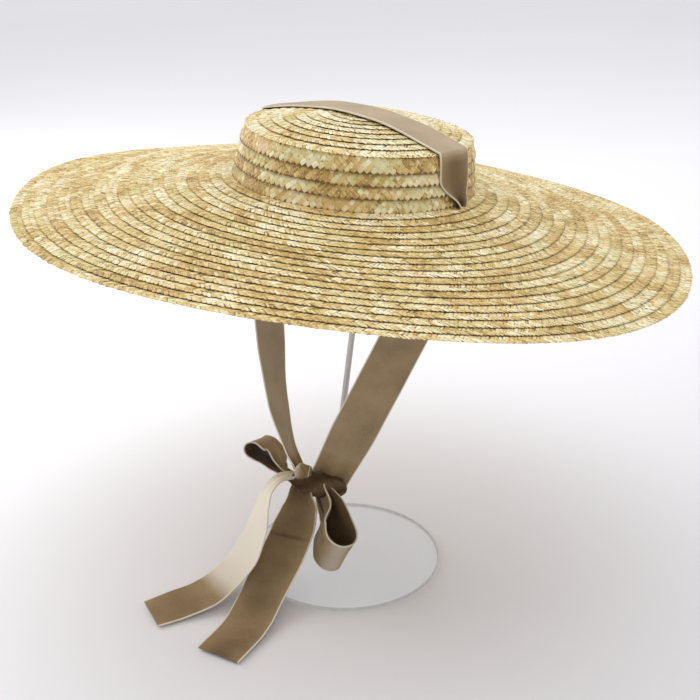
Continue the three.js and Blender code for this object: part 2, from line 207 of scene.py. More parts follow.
def noise(nodes, links, vector, scale, detail=3, roughness=0.55):
    node = nodes.new("ShaderNodeTexNoise")
    node.inputs["Scale"].default_value = scale
    node.inputs["Detail"].default_value = detail
    node.inputs["Roughness"].default_value = roughness
    links.new(vector, node.inputs["Vector"])
    return node


def mixed(nodes, links, blend, share, a, b):
    node = nodes.new("ShaderNodeMix")
    node.data_type = "RGBA"
    node.blend_type = blend
    for socket, value in ((node.inputs[0], share), (node.inputs[6], a), (node.inputs[7], b)):
        if isinstance(value, bpy.types.NodeSocket):
            links.new(value, socket)
        else:
            socket.default_value = value if isinstance(value, float) else (*value, 1)
    return node.outputs[2]


def maths(nodes, links, operation, a, b=0.0, clamp=False):
    node = nodes.new("ShaderNodeMath")
    node.operation = operation
    node.use_clamp = clamp
    for socket, value in zip(node.inputs, (a, b)):
        if isinstance(value, bpy.types.NodeSocket):
            links.new(value, socket)
        else:
            socket.default_value = value
    return node.outputs[0]


# A value between 0 and 1, drawn out between two others.
def ranged(nodes, links, value, low, high):
    node = nodes.new("ShaderNodeMapRange")
    node.inputs["To Min"].default_value = low
    node.inputs["To Max"].default_value = high
    links.new(value, node.inputs["Value"])
    return node.outputs[0]


def bumped(nodes, links, height, strength, depth):
    node = nodes.new("ShaderNodeBump")
    node.inputs["Strength"].default_value = strength
    node.inputs["Distance"].default_value = depth
    links.new(height, node.inputs["Height"])
    return node


def attribute(nodes, name):
    node = nodes.new("ShaderNodeAttribute")
    node.attribute_name = name
    return node.outputs["Vector"]


def split(nodes, links, vector):
    node = nodes.new("ShaderNodeSeparateXYZ")
    links.new(vector, node.inputs[0])
    return node.outputs


grain = {"thirdScale": 40, "detail": 4, "roughness": 0.6}


# Fine streaks that run along a fibre: a noise drawn out along one way of the coordinates it is given.
def makeStreaks():
    group = bpy.data.node_groups.new("streaks", "ShaderNodeTree")
    group.interface.new_socket("Vector", in_out="INPUT", socket_type="NodeSocketVector")
    for name in ("Along", "Across", "Contrast"):
        group.interface.new_socket(name, in_out="INPUT", socket_type="NodeSocketFloat")
    group.interface.new_socket("Value", in_out="OUTPUT", socket_type="NodeSocketFloat")
    nodes, links = group.nodes, group.links
    given = nodes.new("NodeGroupInput")
    out = nodes.new("NodeGroupOutput")
    combine = nodes.new("ShaderNodeCombineXYZ")
    links.new(given.outputs["Along"], combine.inputs[0])
    links.new(given.outputs["Across"], combine.inputs[1])
    combine.inputs[2].default_value = grain["thirdScale"]
    stretched = nodes.new("ShaderNodeVectorMath")
    stretched.operation = "MULTIPLY"
    links.new(given.outputs["Vector"], stretched.inputs[0])
    links.new(combine.outputs[0], stretched.inputs[1])
    spots = noise(nodes, links, stretched.outputs[0], 1.0, grain["detail"], grain["roughness"])
    centred = maths(nodes, links, "SUBTRACT", spots.outputs["Fac"], 0.5)
    strong = maths(nodes, links, "MULTIPLY", centred, given.outputs["Contrast"])
    back = maths(nodes, links, "ADD", strong, 0.5, clamp=True)
    links.new(back, out.inputs["Value"])
    return group


streaks = makeStreaks()


def placeStreaks(nodes, links, vector, along, across, contrast):
    node = nodes.new("ShaderNodeGroup")
    node.node_tree = streaks
    node.inputs["Along"].default_value = along
    node.inputs["Across"].default_value = across
    node.inputs["Contrast"].default_value = contrast
    links.new(vector, node.inputs["Vector"])
    return node.outputs["Value"]


straw = {
    "shadow": (0.14, 0.070, 0.018),
    "golden": (0.45, 0.275, 0.065),
    "wheat": (0.75, 0.57, 0.22),
    "cream": (0.96, 0.92, 0.67),
    "green": (0.56, 0.50, 0.17),
    "orange": (0.60, 0.31, 0.07),
    "strand": 0.0014,
    "strandSeed": 977.3,
    "strandTone": 0.40,
    "strandEdge": 0.26,
    "strandEdgePower": 5.0,
    "streaks": (110, 1900, 1.3),
    "streakTone": 0.30,
    # place across the row, and how much painted shade darkens it there at its tucked and free edges
    "rowRims": [(0.02, 0.22), (0.1, 0), (0.9, 0), (0.99, 0.16)],
    "darker": 0.22,
    "hueStrength": 1.2,
    "hueInLight": 1.6,
    "roughness": (0.55, 0.32),
    "specular": 0.5,
    "fibreBump": (0.35, 0.0003),
    "weaveBump": (0.55, 0.0004),
}


# A fine plain weave drawn slantwise: it gives each strand's own shade, and how near its edge a spot is.
def makeWeave():
    group = bpy.data.node_groups.new("weave", "ShaderNodeTree")
    group.interface.new_socket("Vector", in_out="INPUT", socket_type="NodeSocketVector")
    group.interface.new_socket("Shade", in_out="OUTPUT", socket_type="NodeSocketFloat")
    group.interface.new_socket("Edge", in_out="OUTPUT", socket_type="NodeSocketFloat")
    nodes, links = group.nodes, group.links
    given = nodes.new("NodeGroupInput")
    out = nodes.new("NodeGroupOutput")
    along, across, row = split(nodes, links, given.outputs["Vector"])
    ways, edges = [], []
    for operation in ("ADD", "SUBTRACT"):
        slant = maths(nodes, links, operation, along, across)
        counted = maths(nodes, links, "DIVIDE", slant, straw["strand"] * math.sqrt(2))
        ways.append(maths(nodes, links, "FLOOR", counted))
        middle = maths(nodes, links, "SUBTRACT", maths(nodes, links, "FRACT", counted), 0.5)
        edges.append(maths(nodes, links, "ABSOLUTE", middle))
    odd = maths(nodes, links, "PINGPONG", maths(nodes, links, "ADD", *ways), 1.0)
    even = maths(nodes, links, "SUBTRACT", 1.0, odd)
    strand = maths(nodes, links, "ADD", maths(nodes, links, "MULTIPLY", ways[0], odd),
                   maths(nodes, links, "MULTIPLY", ways[1], even))
    strand = maths(nodes, links, "ADD", strand, maths(nodes, links, "MULTIPLY", odd, straw["strandSeed"]))
    spread = nodes.new("ShaderNodeTexWhiteNoise")
    spread.noise_dimensions = "2D"
    seed = nodes.new("ShaderNodeCombineXYZ")
    links.new(strand, seed.inputs[0])
    links.new(row, seed.inputs[1])
    links.new(seed.outputs[0], spread.inputs["Vector"])
    links.new(spread.outputs["Value"], out.inputs["Shade"])
    near = maths(nodes, links, "MULTIPLY", maths(nodes, links, "MAXIMUM", *edges), 2.0)
    links.new(maths(nodes, links, "POWER", near, straw["strandEdgePower"]), out.inputs["Edge"])
    return group


weave = makeWeave()


# The braid's attributes: splint holds tone, hue and the place across the row, fibre the place on a splint,
# and plait the place along and across the row with a number of its own.
def strawMaterial():
    material, nodes, links, surface = nodeTree("straw")
    ownTone, ownHue, across = split(nodes, links, attribute(nodes, "splint"))
    streak = placeStreaks(nodes, links, attribute(nodes, "fibre"), *straw["streaks"])
    woven = nodes.new("ShaderNodeGroup")
    woven.node_tree = weave
    links.new(attribute(nodes, "plait"), woven.inputs["Vector"])
    paintedRowShade = ramp(nodes, [(place, (dark, dark, dark)) for place, dark in straw["rowRims"]])
    links.new(across, paintedRowShade.inputs[0])
    streaky = maths(nodes, links, "MULTIPLY", streak, straw["streakTone"])
    stranded = maths(nodes, links, "MULTIPLY", woven.outputs["Shade"], straw["strandTone"])
    edged = maths(nodes, links, "MULTIPLY", woven.outputs["Edge"], straw["strandEdge"])
    tone = maths(nodes, links, "ADD", ownTone, streaky)
    tone = maths(nodes, links, "ADD", tone, stranded)
    tone = maths(nodes, links, "SUBTRACT", tone, edged)
    tone = maths(nodes, links, "SUBTRACT", tone, paintedRowShade.outputs[0])
    tone = maths(nodes, links, "SUBTRACT", tone, straw["darker"], clamp=True)
    stops = [(0.0, straw["shadow"]), (0.12, straw["golden"]), (0.50, straw["wheat"]), (1.0, straw["cream"])]
    base = ramp(nodes, stops)
    links.new(tone, base.inputs[0])
    hue = ramp(nodes, [(0.0, straw["green"]), (0.45, straw["golden"]), (1.0, straw["orange"])])
    links.new(ownHue, hue.inputs[0])
    away = maths(nodes, links, "ABSOLUTE", maths(nodes, links, "SUBTRACT", ownHue, 0.5))
    away = maths(nodes, links, "MULTIPLY", away, straw["hueStrength"], clamp=True)
    lit = maths(nodes, links, "MULTIPLY", tone, straw["hueInLight"], clamp=True)
    away = maths(nodes, links, "MULTIPLY", away, lit)
    coloured = mixed(nodes, links, "MIX", away, base.outputs[0], hue.outputs[0])
    links.new(coloured, surface.inputs["Base Color"])
    links.new(ranged(nodes, links, streak, *straw["roughness"]), surface.inputs["Roughness"])
    fibres = bumped(nodes, links, streak, *straw["fibreBump"])
    crossings = bumped(nodes, links, woven.outputs["Edge"], *straw["weaveBump"])
    crossings.invert = True
    links.new(fibres.outputs[0], crossings.inputs["Normal"])
    links.new(crossings.outputs[0], surface.inputs["Normal"])
    surface.inputs["Specular IOR Level"].default_value = straw["specular"]
    return material


velvet = {
    # painted shade colour
    "shadeColour": (0.062, 0.033, 0.013),
    "deep": (0.165, 0.105, 0.052),
    "body": (0.315, 0.222, 0.118),
    "brushed": (0.43, 0.32, 0.19),
    # painted highlight colour
    "paintedLight": (0.77, 0.71, 0.61),
    "selvedge": (0.74, 0.67, 0.55),
    "selvedgeFrom": 0.945,
    "selvedgeFull": 0.965,
    "selvedgeShade": 0.6,
    "patches": (38, 3, 0.5),
    "patchShare": 0.55,
    "hairs": (900, 4, 0.65),
    "hairShare": 0.3,
    "streaks": (260, 55, 1.6),
    "streakShare": 0.16,
    "sheen": 0.12,
    "sheenRoughness": 0.35,
    "sheenTint": (1.0, 0.93, 0.82),
    "roughness": 0.85,
    "specular": 0.2,
    "bump": (0.35, 0.0006),
}


# The ribbon's attribute cloth holds the place along it, across it in half widths, and its painted light:
# above zero a painted highlight, below zero painted shade.
def velvetMaterial():
    material, nodes, links, surface = nodeTree("velvet")
    cloth = attribute(nodes, "cloth")
    _, beside, paintedLightLevel = split(nodes, links, cloth)
    place = nodes.new("ShaderNodeTexCoord").outputs["Object"]
    patches = noise(nodes, links, place, *velvet["patches"]).outputs["Fac"]
    hairs = noise(nodes, links, place, *velvet["hairs"]).outputs["Fac"]
    fine = placeStreaks(nodes, links, cloth, *velvet["streaks"])
    wear = maths(nodes, links, "MULTIPLY", patches, velvet["patchShare"])
    for part, share in ((hairs, velvet["hairShare"]), (fine, velvet["streakShare"])):
        wear = maths(nodes, links, "ADD", wear, maths(nodes, links, "MULTIPLY", part, share))
    base = ramp(nodes, [(0.25, velvet["deep"]), (0.5, velvet["body"]), (0.8, velvet["brushed"])])
    links.new(wear, base.inputs[0])
    # painted light: above zero the colour mixes toward the painted highlight, below zero toward painted shade
    flat = maths(nodes, links, "MULTIPLY", paintedLightLevel, 1.0, clamp=True)
    deep = maths(nodes, links, "MULTIPLY", paintedLightLevel, -1.0, clamp=True)
    tone = mixed(nodes, links, "MIX", flat, base.outputs[0], velvet["paintedLight"])
    tone = mixed(nodes, links, "MIX", deep, tone, velvet["shadeColour"])
    band = ramp(nodes, [(velvet["selvedgeFrom"], (0, 0, 0)), (velvet["selvedgeFull"], (1, 1, 1))])
    links.new(maths(nodes, links, "ABSOLUTE", beside), band.inputs[0])
    # painted shade darkens the selvedge too
    shaded = maths(nodes, links, "MULTIPLY", deep, velvet["selvedgeShade"])
    rim = mixed(nodes, links, "MIX", shaded, velvet["selvedge"], velvet["deep"])
    links.new(mixed(nodes, links, "MIX", band.outputs[0], tone, rim), surface.inputs["Base Color"])
    surface.inputs["Roughness"].default_value = velvet["roughness"]
    surface.inputs["Specular IOR Level"].default_value = velvet["specular"]
    surface.inputs["Sheen Weight"].default_value = velvet["sheen"]
    surface.inputs["Sheen Roughness"].default_value = velvet["sheenRoughness"]
    surface.inputs["Sheen Tint"].default_value = (*velvet["sheenTint"], 1)
    links.new(bumped(nodes, links, wear, *velvet["bump"]).outputs[0], surface.inputs["Normal"])
    return material


plate = {
    "radius": 0.077,
    "face": (0.62, 0.63, 0.63),
    "rim": (0.20, 0.21, 0.21),
    "rimFrom": 0.0005,
    "rimFull": 0.0001,
    "alpha": (0.12, 0.42),
    "scuffs": (60, 4, 0.7),
    "roughness": (0.03, 0.14),
    "refraction": 1.45,
}


# Clear plastic: it lets most light through, and its cut edge is painted grey, painted shade for the dark look
# of a clear edge.
def clearMaterial():
    material, nodes, links, surface = nodeTree("clear_plate")
    place = nodes.new("ShaderNodeTexCoord").outputs["Object"]
    scuffs = noise(nodes, links, place, *plate["scuffs"])
    links.new(ranged(nodes, links, scuffs.outputs["Fac"], *plate["roughness"]), surface.inputs["Roughness"])
    far = nodes.new("ShaderNodeVectorMath")
    far.operation = "LENGTH"
    links.new(place, far.inputs[0])
    rim = nodes.new("ShaderNodeMapRange")
    rim.inputs["From Min"].default_value = plate["radius"] - plate["rimFrom"]
    rim.inputs["From Max"].default_value = plate["radius"] - plate["rimFull"]
    links.new(far.outputs["Value"], rim.inputs["Value"])
    colour = mixed(nodes, links, "MIX", rim.outputs[0], plate["face"], plate["rim"])
    links.new(colour, surface.inputs["Base Color"])
    links.new(ranged(nodes, links, rim.outputs[0], *plate["alpha"]), surface.inputs["Alpha"])
    surface.inputs["IOR"].default_value = plate["refraction"]
    return material


metal = {
    "dull": (0.60, 0.60, 0.59),
    "bright": (0.72, 0.72, 0.71),
    "grain": (700, 3, 0.6),
    "roughness": (0.25, 0.42),
    "metallic": 0.25,
    "bump": (0.1, 0.0001),
}


def paleMetalMaterial():
    material, nodes, links, surface = nodeTree("white_metal")
    place = nodes.new("ShaderNodeTexCoord").outputs["Object"]
    spots = noise(nodes, links, place, *metal["grain"]).outputs["Fac"]
    tone = ramp(nodes, [(0.3, metal["dull"]), (0.7, metal["bright"])])
    links.new(spots, tone.inputs[0])
    links.new(tone.outputs[0], surface.inputs["Base Color"])
    links.new(ranged(nodes, links, spots, *metal["roughness"]), surface.inputs["Roughness"])
    surface.inputs["Metallic"].default_value = metal["metallic"]
    links.new(bumped(nodes, links, spots, *metal["bump"]).outputs[0], surface.inputs["Normal"])
    return material


strawCloth = strawMaterial()
velvetCloth = velvetMaterial()


def dress(piece, material):
    piece.data.materials.clear()
    piece.data.materials.append(material)
    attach(piece, "root")


braids = {
    "lattice": {"pitch": 0.0044, "width": 0.0100, "core": 0.0003, "coreTo": 1.03, "splints": [
        {"length": 0.0046, "wide": 0.0034, "thick": 0.0013, "across": 0.0012, "slant": 45},
        {"length": 0.0046, "wide": 0.0034, "thick": 0.0013, "across": 0.0034, "slant": -45},
        {"length": 0.0046, "wide": 0.0034, "thick": 0.0014, "across": 0.0056, "slant": 45},
        {"length": 0.0045, "wide": 0.0034, "thick": 0.0016, "across": 0.0077, "slant": -45},
    ]},
    "fine": {"pitch": 0.0027, "width": 0.0098, "core": 0.0003, "coreTo": 0.94, "splints": [
        {"length": 0.0064, "wide": 0.0025, "thick": 0.0009, "across": 0.0028, "slant": -55},
        {"length": 0.0066, "wide": 0.0023, "thick": 0.0010, "across": 0.0070, "slant": 58},
    ]},
}


pillow = {"endPower": 2.4, "sideFall": 0.75, "taper": 0.16}


# One flat straw splint: a small pillow, thickest in its middle, whose ends tuck under its neighbours.
def makeSplint(splint):
    deselectAll()
    bpy.ops.mesh.primitive_grid_add(x_subdivisions=4, y_subdivisions=2, size=1)
    piece = newPiece("splint")
    points = coords(piece)
    along, beside = 2 * points[:, 0], 2 * points[:, 1]
    ends = 1 - np.abs(along) ** pillow["endPower"]
    sides = 1 - pillow["sideFall"] * beside**2
    points[:, 2] = 0.5 * splint["thick"] * ends * sides
    points[:, 0] *= splint["length"]
    points[:, 1] *= splint["wide"] * (1 - pillow["taper"] * along**2)
    setCoords(piece, points)
    applyModifier(piece, "MIRROR", use_axis=(False, False, True), merge_threshold=1e-6)
    points = coords(piece)
    fibre = points.copy()
    fibre[:, 2] = 0
    note(piece, "fibre", fibre)
    turn = math.radians(splint["slant"])
    x, y = points[:, 0].copy(), points[:, 1].copy()
    points[:, 0] = x * math.cos(turn) - y * math.sin(turn)
    points[:, 1] = x * math.sin(turn) + y * math.cos(turn) + splint["across"]
    setCoords(piece, points)
    return piece


# The splints of one pitch of a braid. In a lattice each second line stands half a pitch on.
def makeCell(kind):
    braid = braids[kind]
    pieces = []
    for number, splint in enumerate(braid["splints"]):
        piece = makeSplint(splint)
        points = coords(piece)
        points[:, 0] += number % 2 * braid["pitch"] / 2
        setCoords(piece, points)
        pieces.append(piece)
    cell = joined("cell_" + kind, pieces)
    cell.hide_render = True
    return cell


rowLook = {
    "patchLength": 0.022,
    "tonePatch": 0.8,
    "toneStrand": 0.20,
    "toneSplint": 0.06,
    "tones": (0.16, 1.1),
    "hueMiddle": 0.45,
    "huePatch": 0.9,
    "hueStrand": 0.16,
    "hues": (0.02, 0.98),
    "jitter": (0.00020, 0.00018, 0.00008),
    "fibreRun": 3,
    "stations": 240,
}


# The row's own colours: slow patches along it, a shade for each strand, and a little for each splint.
def rowShades(cells, pitch, splints, patchy, bright):
    knots = max(4, int(cells * pitch / rowLook["patchLength"]))
    tones, hues = dice.random(knots), dice.random(knots)
    cell, line = np.divmod(np.arange(cells * splints), splints)
    place = cell / cells * knots
    before = np.floor(place).astype(int)
    near, far = before % knots, (before + 1) % knots
    share = place - before
    share = share * share * (3 - 2 * share)
    tone = tones[near] * (1 - share) + tones[far] * share - 0.5
    hue = hues[near] * (1 - share) + hues[far] * share - 0.5
    strand = np.where(line % 2 == 0, cell - line // 2, cell + line // 2 + 1) % cells
    shades = dice.normal(0, 1, (2, 2, cells))[:, line % 2, strand]
    speckle = dice.normal(0, rowLook["toneSplint"], cells * splints)
    tone = rowLook["tonePatch"] * tone + rowLook["toneStrand"] * shades[0]
    hue = rowLook["huePatch"] * hue + rowLook["hueStrand"] * shades[1]
    tone = np.clip(bright + patchy * tone + speckle, *rowLook["tones"])
    return tone, np.clip(rowLook["hueMiddle"] + patchy * hue, *rowLook["hues"])


# Lays a straight row between its inner and outer edges, each given as out and up.
def layRow(points, across, around, inner, outer):
    along = np.array([outer[0] - inner[0], outer[1] - inner[1]])
    along = along / np.hypot(*along)
    out = inner[0] + (outer[0] - inner[0]) * across - along[1] * points[:, 2]
    up = inner[1] + (outer[1] - inner[1]) * across + along[0] * points[:, 2]
    return inHat(ringPoints(out, up, around))


def makeRow(name, kind, cell, inner, outer, patchy, bright=0.5, coreFrom=-0.3):
    braid = braids[kind]
    middle = (inner[0] + outer[0]) / 2
    turns = np.linspace(0, 2 * math.pi, rowLook["stations"])
    loop = ringPoints(np.full_like(turns, middle), np.zeros_like(turns), turns)
    length = float(np.linalg.norm(np.diff(loop, axis=0), axis=1).sum())
    cells = max(5, round(length / braid["pitch"]))
    useOnly(cell)
    bpy.ops.object.duplicate()
    row = newPiece(name)
    applyModifier(row, "ARRAY", count=cells, use_relative_offset=False, use_constant_offset=True,
                  constant_offset_displace=(braid["pitch"], 0, 0))
    points = coords(row)
    splints = len(braid["splints"])
    each = len(points) // (cells * splints)
    which = np.arange(len(points)) // each
    count = cells * splints
    tone, hue = rowShades(cells, braid["pitch"], splints, patchy, bright)
    for axis, shift in enumerate(rowLook["jitter"]):
        points[:, axis] += dice.normal(0, shift, count)[which]
    phase = dice.random() * 2 * math.pi
    around = phase + 2 * math.pi * points[:, 0] / (cells * braid["pitch"])
    across = points[:, 1] / braid["width"]
    fibre = noted(row, "fibre")
    fibre[:, 2] = dice.random(count)[which]
    fibre[:, 0] += (dice.random(count) * rowLook["fibreRun"])[which]
    note(row, "fibre", fibre)
    number = dice.integers(1, 999)
    note(row, "splint", np.stack([tone[which], hue[which], across], axis=1))
    note(row, "plait", np.stack([points[:, 0], points[:, 1], np.full(len(points), number)], axis=1))
    setCoords(row, layRow(points, across, around, inner, outer))
    core = makeCore(name + "_core", kind, length, inner, outer, coreFrom)
    row = joined(name, [row, core])
    row.hide_render = False
    return row


coreLook = {"step": 0.006, "ring": 0.25, "fibreAlong": 0.1, "fibreAcross": 0.01, "underTone": 0.6}


# The thin middle of a row, which closes the gaps between its splints: painted shade above, the dark line
# between splints and rows, and straw below. It is a torus with four sides, whose ring is drawn flat over the
# row.
def makeCore(name, kind, length, inner, outer, coreFrom):
    deselectAll()
    ring = coreLook["ring"]
    bpy.ops.mesh.primitive_torus_add(major_segments=max(16, round(length / coreLook["step"])),
                                     minor_segments=4, major_radius=1, minor_radius=ring)
    core = newPiece(name)
    points = coords(core)
    around = np.arctan2(points[:, 1], points[:, 0])
    half = (braids[kind]["coreTo"] - coreFrom) / 2
    across = coreFrom + half + half * (np.hypot(points[:, 0], points[:, 1]) - 1) / ring
    none = across * 0
    # the core's top gets the darkest tone, painted shade
    tone = np.where(points[:, 2] < -ring / 2, coreLook["underTone"], 0.0)
    points[:, 2] *= braids[kind]["core"] / (2 * ring)
    fibre = [around * coreLook["fibreAlong"], across * coreLook["fibreAcross"], none]
    note(core, "fibre", np.stack(fibre, axis=1))
    note(core, "splint", np.stack([tone, none + 0.5, across], axis=1))
    plait = [around * length / (2 * math.pi), across * braids[kind]["width"], none]
    note(core, "plait", np.stack(plait, axis=1))
    setCoords(core, layRow(points, across, around, inner, outer))
    return core


latticeCell = makeCell("lattice")
fineCell = makeCell("fine")


def finishStraw(name, rows, nodes):
    piece = joined(name, rows)
    smooth(piece, 55)
    dress(piece, strawCloth)
    if nodes:
        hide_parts(*nodes)
    print(name, len(piece.data.polygons), "faces")
    return piece


# How far each row's free edge reaches over the next row, how its other edge tucks under the row before it,
# and how its colours vary.
# the wall rows' lower brightness is painted shade, the top rows' higher brightness painted light
topRow = {"over": 0.0008, "overWall": 0.0024, "rise": 0.0002, "tuck": 0.0010, "sink": 0.0007,
          "hole": 0.0004, "patchy": 0.8, "bright": 0.7}
wallRow = {"over": 0.0004, "overBrim": 0.0012, "flare": 0.0010, "tuck": 0.0014, "rise": 0.0010,
           "patchy": 1.5, "bright": 0.40, "topAt": 0.2}
brimRow = {"over": 0.0006, "tuck": 0.0010, "sink": 0.0009, "patchy": 0.8}


def makeCrown():
    rows = []
    reach = topReach / hat["topRows"]
    for row in range(hat["topRows"]):
        outer = topEdge - row * reach
        inner = outer - reach
        over, rise = (topRow["overWall"], -topRow["rise"]) if row == 0 else (topRow["over"], topRow["rise"])
        rim = (outer + over, topHeight(outer) + rise)
        tucked = max(inner - topRow["tuck"], topRow["hole"] - hat["halfWidth"])
        under = (tucked, topHeight(inner) - topRow["sink"])
        rows.append(makeRow(f"top_row_{row}", "fine", fineCell, under, rim,
                            topRow["patchy"], topRow["bright"]))
    high = hat["wallHeight"] - wallRow["topAt"] * hat["edge"]
    rowHeight = (hat["wallHeight"] - hat["edge"]) / hat["wallRows"]
    for row in range(hat["wallRows"]):
        low = (hat["wallRows"] - row - 1) * rowHeight
        top, rise, coreFrom = (high, 0.0, 0.0) if row == 0 else (low + rowHeight, wallRow["rise"], -0.3)
        inner = (wallOut(top) - wallRow["tuck"], top + rise)
        outer = (wallOut(low) + wallRow["flare"], low - wallRow["overBrim" if low == 0 else "over"])
        rows.append(makeRow(f"wall_row_{row}", "lattice", latticeCell, inner, outer,
                            wallRow["patchy"], wallRow["bright"], coreFrom))
    return finishStraw("crown_braid", rows, ["crown"])


def makeBrim():
    # each group is a piece of its own, to keep the pieces small
    groups = [range(0, 5), range(5, 10), range(10, 15), range(15, 19)]
    for number, group in enumerate(groups):
        rows = []
        for row in group:
            start, end = row * hat["rowPitch"], (row + 1) * hat["rowPitch"]
            inner = (start - brimRow["tuck"], brimHeight(start) - brimRow["sink"])
            outer = (end + brimRow["over"], brimHeight(end))
            rows.append(makeRow(f"brim_row_{row}", "fine", fineCell, inner, outer, brimRow["patchy"]))
        finishStraw(f"brim_braid_{number}", rows, ["brim"] if number == 0 else [])


makeCrown()
makeBrim()
for cell in (latticeCell, fineCell):
    bpy.data.objects.remove(cell)
print("straw done")


ribbon = {
    "width": 0.036,
    "thickness": 0.0011,
    "toMiddle": 0.0006,
    "seat": 0.0003,
    "rowStep": 0.0008,
    "slack": 0.0004,
    "belowSlot": 0.009,
    "slotFromWall": 0.0018,
    "slotOpening": 0.0032,
    "lead": 0.008,
    "slotShift": 0.0054,
    "atSlot": 0.16,
    "acrossSteps": 16,
    "pinch": 0.0019,
    "ripple": 0.0003,
    "rippleTurns": (95, 41),
}
slotX = hat["halfWidth"] + ribbon["slotFromWall"] + ribbon["slotOpening"] / 2

bow = {
    "centre": Vector((-0.0153, -0.0215, 0.073)),
    "length": 0.046,
    "depth": 0.019,
    "turn": 33,
    "dip": 12,
    "slide": 0.0047,
    "wrap": 0.018,
    "wrapHalf": 0.38,
    "wrapDeep": 0.36,
    "wrapRise": 0.42,
    "rollFolds": 3,
    "wrapFolds": 2,
    "rollBlunt": 2.6,
    "wrapBlunt": 4.0,
    "foldDepth": 0.07,
    "creaseDepth": 0.05,
}


def nearKnot(x, y, z):
    return bow["centre"] + Vector((x, y, z)) * bow["length"]


# A smooth curve through points, spaced by the root of their distance.
def curvePoint(points, share):
    place = share * (len(points) - 1)
    at = min(int(place), len(points) - 2)
    t = place - at
    p1, p2 = points[at], points[at + 1]
    p0 = points[at - 1] if at > 0 else p1 * 2 - p2
    p3 = points[at + 2] if at + 2 < len(points) else p2 * 2 - p1
    d0, d1, d2 = (math.sqrt(max((b - a).length, 1e-9)) for a, b in ((p0, p1), (p1, p2), (p2, p3)))
    m1 = ((p1 - p0) / d0 - (p2 - p0) / (d0 + d1) + (p2 - p1) / d1) * d1
    m2 = ((p2 - p1) / d1 - (p3 - p1) / (d1 + d2) + (p3 - p2) / d2) * d1
    return (
        p1 * (2 * t**3 - 3 * t**2 + 1) + m1 * (t**3 - 2 * t**2 + t)
        + p2 * (-2 * t**3 + 3 * t**2) + m2 * (t**3 - t**2)
    )


def tableAt(table, share):
    place = share * (len(table) - 1)
    at = min(int(place), len(table) - 2)
    part = place - at
    part = part * part * (3 - 2 * part) * 0.5 + part * 0.5
    return [a + (b - a) * part for a, b in zip(table[at], table[at + 1])]


# A length of ribbon: a grid laid along a curve. shapeAt gives the way of its width, its width as a share,
# how its edges curl, its painted light (a painted highlight above zero, painted shade below),
# and how much its spare width is folded.
def makeRibbon(name, points, shapeAt, steps, bend=None, folds=2, pinch=ribbon["pinch"]):
    deselectAll()
    bpy.ops.mesh.primitive_grid_add(x_subdivisions=steps, y_subdivisions=ribbon["acrossSteps"], size=1)
    piece = newPiece(name)
    grid = coords(piece)
    placed, cloth = np.empty_like(grid), np.empty_like(grid)
    cache = {}
    travelled = 0.0
    last = None
    for share in sorted(set(np.round(grid[:, 0] + 0.5, 6))):
        here = curvePoint(points, share)
        behind, beyond = curvePoint(points, max(0, share - 1e-3)), curvePoint(points, min(1, share + 1e-3))
        ahead = (beyond - behind).normalized()
        way, wide, cup, paintedLight, folded = shapeAt(share)
        edgeways = (way - ahead * way.dot(ahead)).normalized()
        travelled += (here - last).length if last else 0
        last = here
        cache[share] = (here, edgeways, ahead.cross(edgeways), wide, cup, paintedLight, folded, travelled)
    long, short = ribbon["rippleTurns"]
    for i, (x, y, _) in enumerate(grid):
        here, edgeways, face, wide, cup, paintedLight, folded, far = cache[round(x + 0.5, 6)]
        width = wide * ribbon["width"]
        wave = width / folds
        spare = min(pinch, wave / math.pi * math.sqrt(max(0, 1 / max(wide, 0.2) - 1)))
        lift = folded * spare * math.cos(2 * math.pi * folds * y) + cup * (4 * y * y - 0.33)
        ripple = ribbon["ripple"] * math.sin(far * long + 3 * y) * math.sin(far * short + 1)
        placed[i] = here + edgeways * (y * width) + face * (lift + ripple)
        # painted shade is deepest in the middle of the ribbon's width
        cloth[i] = (far, 2 * y, paintedLight if paintedLight > 0 else paintedLight * (1 - 3 * y * y))
    if bend:
        placed = bend(placed)
    setCoords(piece, placed)
    note(piece, "cloth", cloth)
    applyModifier(piece, "SOLIDIFY", thickness=ribbon["thickness"], offset=0)
    smooth(piece, 70)
    dress(piece, velvetCloth)
    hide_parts(name.replace("_cloth", ""))
    print(name, "length", round(travelled, 4))
    return piece


overCrown = {
    "steps": 220,
    "spreadFrom": 0.14,
    "spreadOver": 0.68,
    "curl": -0.0044,
    "topHighlight": 0.16,
    "wallShade": 0.72,
    "slotShade": 0.9,
    "folds": 2,
    "pinch": 0.0012,
}


